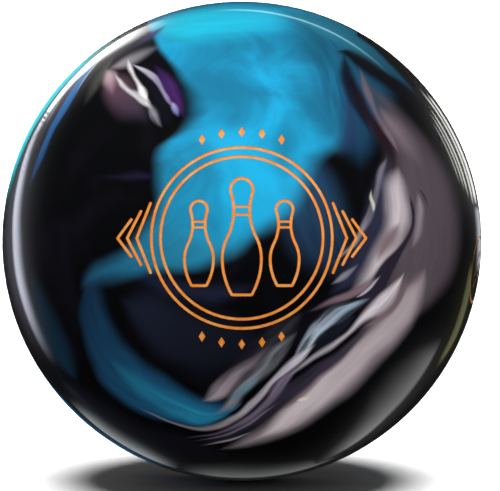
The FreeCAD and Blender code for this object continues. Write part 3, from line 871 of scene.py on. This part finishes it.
@dataclass
class Ball:
    """The ball: every CAD piece keeps its shape and gets its finish.

    Attributes:
        shell: the finish of the coverstock.
        finishes: the finish of each other piece, by a part of its name.
    """

    shell: ShellResin = field(default_factory=ShellResin)
    finishes: dict[str, CastFinish] = field(
        default_factory=lambda: {
            "paint": ENAMEL,
            "locator_plug": PLUG_RESIN,
            "outer_core": FILLER,
            "weight_block": BLOCK_RESIN,
        }
    )

    def dress(self) -> None:
        """Puts each piece's material into its own slots."""
        made = {part: finish.material() for part, finish in self.finishes.items()}
        made["coverstock"] = self.shell.material()
        for name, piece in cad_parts.items():
            material = next(made[part] for part in made if part in name)
            for slot in piece.material_slots:
                slot.material = material
            log.info("%s is finished in %s", name, material.name)


# ---------------------------------------------------------------------- the studio
class Seen(Enum):
    """Which rays meet a stage object: those of the camera, of reflections or of soft light."""

    IN_GLOSS = ("visible_glossy",)
    IN_PICTURE = ("visible_camera", "visible_shadow")


def set_rays(thing: bpy.types.Object, seen: Seen) -> None:
    """Lets only the named kinds of ray meet an object.

    Args:
        thing: the object.
        seen: which rays meet it.
    """
    for ray in ("camera", "diffuse", "glossy", "transmission", "volume_scatter", "shadow"):
        setattr(thing, f"visible_{ray}", f"visible_{ray}" in seen.value)


@dataclass(frozen=True)
class Reflector:
    """A curved light panel that the ball mirrors as a band along its rim.

    Attributes:
        name: what it is called.
        stations: at a few places round the ball, the bearing from rightwards as the camera
            sees it, and the angles from the ball's middle at which the band starts and ends,
            all in degrees.
        glow: how bright it is.
        tint: its colour.
        inner_fade: the share of its width over which its inner edge fades.
        outer_fade: the same at its outer edge.
        end_fade: the share of its length over which each end fades.
    """

    name: str
    stations: tuple[tuple[float, float, float], ...]
    glow: float
    tint: str = "#ffffff"
    inner_fade: float = 0.5
    outer_fade: float = 0.2
    end_fade: float = 0.25


REFLECTORS = (
    Reflector("left_strip", (
        (214, 63, 69), (198, 62.5, 70), (180, 63, 71), (166, 66, 73), (156, 69, 75),
        (146, 72, 76),
    ), 3.5, "#dcdff0", 0.6, 0.25, 0.3),
    Reflector("upper_left", (
        (165, 70, 73.5), (154, 70, 75), (145, 71, 75.5), (136, 70.5, 76), (127, 69, 77.5),
        (118, 67.5, 77.5), (107, 69, 76.5),
    ), 5.5, "#ffffff", 0.5, 0.12, 0.3),
    Reflector("cyan_rim", (
        (172, 78, 84), (160, 77, 87), (146, 76.5, 88), (134, 78, 88), (124, 81, 87),
    ), 1.3, "#08e4f4", 0.25, 0.1, 0.3),
    Reflector("top_line", (
        (100, 71.5, 74), (84, 70, 72.2), (66, 67.5, 69.6), (46, 64, 66),
    ), 2.0, "#c8f6ff", 0.6, 0.3, 0.35),
    Reflector("blind_a", (
        (39, 77, 79), (24, 76.7, 80), (8, 77, 81),
    ), 2.4, "#e6e6e0", 0.1, 0.1, 0.12),
    Reflector("blind_b", (
        (41, 74, 75.3), (24, 74, 75.8), (8, 74, 76),
    ), 2.6, "#e6e6e0", 0.1, 0.1, 0.15),
    Reflector("blind_c", (
        (36, 70.6, 71.5), (24, 70.6, 72), (10, 71, 72.4),
    ), 3.0, "#e6e6e0", 0.12, 0.12, 0.2),
    Reflector("blind_d", (
        (35, 68.6, 69.3), (24, 68.6, 69.8), (12, 69, 70.2),
    ), 2.8, "#e6e6e0", 0.15, 0.15, 0.25),
    Reflector("blind_e", (
        (33, 66.8, 67.3), (24, 66.6, 67.6), (14, 67, 68),
    ), 2.0, "#e6e6e0", 0.15, 0.15, 0.25),
    Reflector("right_grey", (
        (9, 74, 83), (2, 74, 84), (-8, 76, 84),
    ), 1.0, "#e0e8f0", 0.5, 0.2, 0.15),
    Reflector("right_olive", (
        (-4, 70, 72), (-14, 69, 75), (-24, 70, 76), (-34, 71, 74),
    ), 0.75, "#b0b080", 0.3, 0.15, 0.2),
    Reflector("low_right", (
        (-25, 62, 66), (-32, 54, 67), (-41, 50, 68.5), (-50, 52, 70), (-60, 61, 73),
        (-72, 69, 76),
    ), 0.85, "#ffffff", 0.98, 0.04, 0.25),
    Reflector("low_middle", (
        (-64, 72, 78), (-78, 66, 79), (-92, 63, 79), (-106, 68, 79),
    ), 0.32, "#f0f2f4", 0.85, 0.05, 0.25),
    Reflector("low_left", (
        (-104, 70, 79), (-116, 66, 78), (-128, 66, 77), (-138, 69, 76),
    ), 1.0, "#d0d8dc", 0.85, 0.12, 0.3),
    Reflector("blue_rim", (
        (-106, 81, 86), (-120, 79, 87.5), (-136, 79, 87.5), (-150, 81, 86.5),
    ), 0.4, "#1c8ccc", 0.25, 0.1, 0.3),
)


@dataclass(frozen=True)
class Lamp:
    """A round softbox.

    Attributes:
        name: what it is called.
        place: where it hangs, from the ball's centre, in metres.
        size: its diameter, in metres.
        power: its power, in watts, or in watts per square metre for a floor lamp.
        floor_only: whether it lights the floor alone, from as far off as the sun. The two
            floor lamps each wash the floor white, so that only what both leave in shadow
            shows dark.
    """

    name: str
    place: tuple[float, float, float]
    size: float
    power: float
    floor_only: bool = False


LAMPS = (
    Lamp("key_softbox", (-0.9, -1.5, 1.7), 1.3, 22.0),
    Lamp("fill_softbox", (1.3, -1.6, 0.5), 1.5, 10.0),
    Lamp("left_floor_lamp", (-0.44, 0.05, 1.65), 0.75, 26.0, True),
    Lamp("right_floor_lamp", (0.48, 0.05, 1.65), 0.75, 26.0, True),
)


def fade(steps: np.ndarray, start: float, end: float) -> np.ndarray:
    """Rises smoothly from 0 to 1 over a start and falls back over an end.

    Args:
        steps: places from 0 to 1.
        start: the share of the way over which it rises.
        end: the share of the way over which it falls.

    Returns:
        The level at each place.
    """
    rise = np.clip(steps / max(start, 1e-3), 0.0, 1.0)
    fall = np.clip((1.0 - steps) / max(end, 1e-3), 0.0, 1.0)
    level = rise * fall
    return level * level * (3.0 - 2.0 * level)


@dataclass
class Studio:
    """The floor, the lights, the panels that the ball mirrors and the camera.

    Attributes:
        camera_distance: from the ball's centre to the camera, in metres.
        panel_distance: from the ball's centre to the mirrored panels, in metres.
        floor_size: the side of the floor, in metres.
        sensor: the camera's sensor width, in millimetres.
        ball_share: the width of the ball as a share of the frame's width.
        framing: how far the frame stands right of and below the ball's centre, as shares of
            the frame's width.
        dome: the dome's level in soft light, straight below and straight above.
        gloss_share: how much of the dome the gloss mirrors.
    """

    camera_distance: float = 2.2
    panel_distance: float = 2.2
    floor_size: float = 120.0
    sensor: float = 36.0
    ball_share: float = 0.959
    framing: tuple[float, float] = (0.0164, -0.0088)
    dome: tuple[float, float] = (0.3, 0.9)
    gloss_share: float = 0.015

    @property
    def towards_camera(self) -> np.ndarray:
        """The unit vector from the ball's centre to the camera."""
        return np.array((0.0, -math.cos(VIEW_TILT), math.sin(VIEW_TILT)))

    def place_camera(self) -> None:
        """Stands the camera in front of the ball, with the focal length that fills the frame.

        A ball of radius r at a distance d fills an angle whose tangent is r over the root of
        d squared less r squared on each side of the axis.
        """
        data = bpy.data.cameras.new("camera")
        data.sensor_width = self.sensor
        half = RADIUS / math.sqrt(self.camera_distance**2 - RADIUS**2)
        data.lens = self.sensor * self.ball_share / (2 * half)
        data.shift_x, data.shift_y = self.framing
        camera = bpy.data.objects.new("camera", data)
        bpy.context.scene.collection.objects.link(camera)
        stand = Vector(self.towards_camera) * self.camera_distance
        camera.location = stand
        camera.rotation_euler = (-stand).to_track_quat("-Z", "Y").to_euler()
        bpy.context.scene.camera = camera

    def lay_floor(self) -> bpy.types.Object:
        """Lays a pale matt floor at the ball's lowest point.

        Returns:
            The floor.
        """
        half = self.floor_size / 2
        corners = np.array([(-half, -half), (half, -half), (half, half), (-half, half)])
        corners = np.column_stack((corners, np.full(len(corners), FLOOR_LEVEL)))
        mesh = bpy.data.meshes.new("floor")
        mesh.from_pydata(corners.tolist(), [], [(0, 1, 2, 3)])
        floor = bpy.data.objects.new("floor", mesh)
        bpy.context.scene.collection.objects.link(floor)
        # Matt sweep paper: no shine at all, and a mottle too faint to see.
        material, tree = new_material("matt_sweep_paper")
        place = add(tree, "NodeTexCoord", {}, {}).outputs["Object"]
        mottle = add(tree, "NodeTexNoise", {}, {"Vector": place, "Scale": 8.0}).outputs["Fac"]
        colour = add(
            tree, "NodeMix", COLOURS, {0: mottle, 6: linear("#6c6c6c"), 7: linear("#727272")}
        ).outputs[2]
        paper = add(
            tree, "NodeBsdfPrincipled", {},
            {"Base Color": colour, "Roughness": 1.0, "Specular IOR Level": 0.0},
        )
        add(tree, "NodeOutputMaterial", {}, {"Surface": paper.outputs[0]})
        mesh.materials.append(material)
        set_rays(floor, Seen.IN_PICTURE)
        return floor

    def hang_reflector(self, panel: Reflector) -> None:
        """Hangs one panel where the ball mirrors it.

        A point of the ball at an angle a from the direction of the camera mirrors what lies
        at twice that angle, on the same bearing. The panel is a patch of a sphere about the
        ball: its rows go round the bearing and its columns across the doubled angle.

        Args:
            panel: the panel to hang.
        """
        rows, columns = 41, 9
        stations = np.array(panel.stations, float)
        steps = np.linspace(0.0, 1.0, rows)
        known = np.linspace(0.0, 1.0, len(stations))
        bearing, inner, outer = (np.interp(steps, known, stations[:, i]) for i in range(3))
        across = np.linspace(0.0, 1.0, columns)
        swing = np.radians(2 * (inner[:, None] + (outer - inner)[:, None] * across[None, :]))
        roll = np.radians(bearing)[:, None]
        toward = self.towards_camera
        right = np.array((1.0, 0.0, 0.0))
        up = np.cross(toward, right)
        sideways = np.cos(roll)[..., None] * right + np.sin(roll)[..., None] * up
        points = self.panel_distance * (
            np.cos(swing)[..., None] * toward + np.sin(swing)[..., None] * sideways
        )
        grid = np.arange(rows * columns).reshape(rows, columns)
        faces = np.stack((grid[:-1, :-1], grid[:-1, 1:], grid[1:, 1:], grid[1:, :-1]), axis=-1)
        mesh = bpy.data.meshes.new(panel.name)
        mesh.from_pydata(points.reshape(-1, 3).tolist(), [], faces.reshape(-1, 4).tolist())
        along_it = fade(steps, panel.end_fade, panel.end_fade)
        across_it = fade(across, panel.inner_fade, panel.outer_fade)
        strength = along_it[:, None] * across_it
        glow = mesh.attributes.new("glow", "FLOAT", "POINT")
        glow.data.foreach_set("value", strength.reshape(-1).astype(np.float32))
        panel_object = bpy.data.objects.new(panel.name, mesh)
        bpy.context.scene.collection.objects.link(panel_object)
        material, tree = new_material(f"{panel.name}_light")
        level = add(tree, "NodeAttribute", {"attribute_name": "glow"}, {}).outputs["Fac"]
        power = add(tree, "NodeMath", "MULTIPLY", {0: level, 1: panel.glow})
        light = add(
            tree, "NodeEmission", {}, {"Color": linear(panel.tint), "Strength": power.outputs[0]}
        )
        add(tree, "NodeOutputMaterial", {}, {"Surface": light.outputs[0]})
        mesh.materials.append(material)
        set_rays(panel_object, Seen.IN_GLOSS)

    def hang_lamp(self, lamp: Lamp, floor: bpy.types.Object) -> None:
        """Hangs one softbox, aimed at the ball, which doesn't mirror it.

        Args:
            lamp: the softbox.
            floor: the floor, which is all that a floor lamp lights and all that another
                doesn't.
        """
        if lamp.floor_only:
            data = bpy.data.lights.new(lamp.name, "SUN")
            data.angle = lamp.size / math.hypot(*lamp.place)
        else:
            data = bpy.data.lights.new(lamp.name, "AREA")
            data.shape = "DISK"
            data.size = lamp.size
        data.energy = lamp.power
        softbox = bpy.data.objects.new(lamp.name, data)
        bpy.context.scene.collection.objects.link(softbox)
        softbox.location = lamp.place
        softbox.rotation_euler = (-Vector(lamp.place)).to_track_quat("-Z", "Y").to_euler()
        softbox.visible_glossy = False
        lit = bpy.data.collections.new(f"{lamp.name}_reach")
        lit.objects.link(floor)
        state = "INCLUDE" if lamp.floor_only else "EXCLUDE"
        lit.collection_objects[0].light_linking.link_state = state
        softbox.light_linking.receiver_collection = lit

    def light_dome(self) -> None:
        """Sets a white dome: bright overhead and dim below in soft light, dark in gloss."""
        world = bpy.data.worlds.new("studio_dome")
        world.use_nodes = True
        tree = world.node_tree
        tree.nodes.clear()
        rays = add(tree, "NodeLightPath", {}, {}).outputs
        way = add(tree, "NodeTexCoord", {}, {}).outputs["Generated"]
        height = add(tree, "NodeSeparateXYZ", {}, {0: way}).outputs[2]
        low, high = self.dome
        level = add(tree, "NodeMapRange", {}, {0: height, 1: -1.0, 2: 1.0, 3: low, 4: high}).outputs[0]
        soft = add(tree, "NodeMath", "MAXIMUM", {0: level, 1: rays["Is Camera Ray"]}).outputs[0]
        keep = add(
            tree, "NodeMapRange", {}, {0: rays["Is Glossy Ray"], 3: 1.0, 4: self.gloss_share}
        ).outputs[0]
        power = add(tree, "NodeMath", "MULTIPLY", {0: soft, 1: keep})
        dome = add(
            tree, "NodeBackground", {}, {"Color": linear("#ffffff"), "Strength": power.outputs[0]}
        )
        add(tree, "NodeOutputWorld", {}, {"Surface": dome.outputs[0]})
        bpy.context.scene.world = world
        bpy.context.scene.view_settings.view_transform = "Standard"

    def build(self) -> None:
        """Sets up the whole studio."""
        self.place_camera()
        floor = self.lay_floor()
        for panel in REFLECTORS:
            self.hang_reflector(panel)
        for lamp in LAMPS:
            self.hang_lamp(lamp, floor)
        self.light_dome()
        log.info("studio with %d panels", len(REFLECTORS))


def main() -> None:
    """Builds the studio, dresses the ball and reports each step."""
    logging.basicConfig(level=logging.INFO)
    Studio().build()
    Ball().dress()


if __name__ == "__main__":
    main()
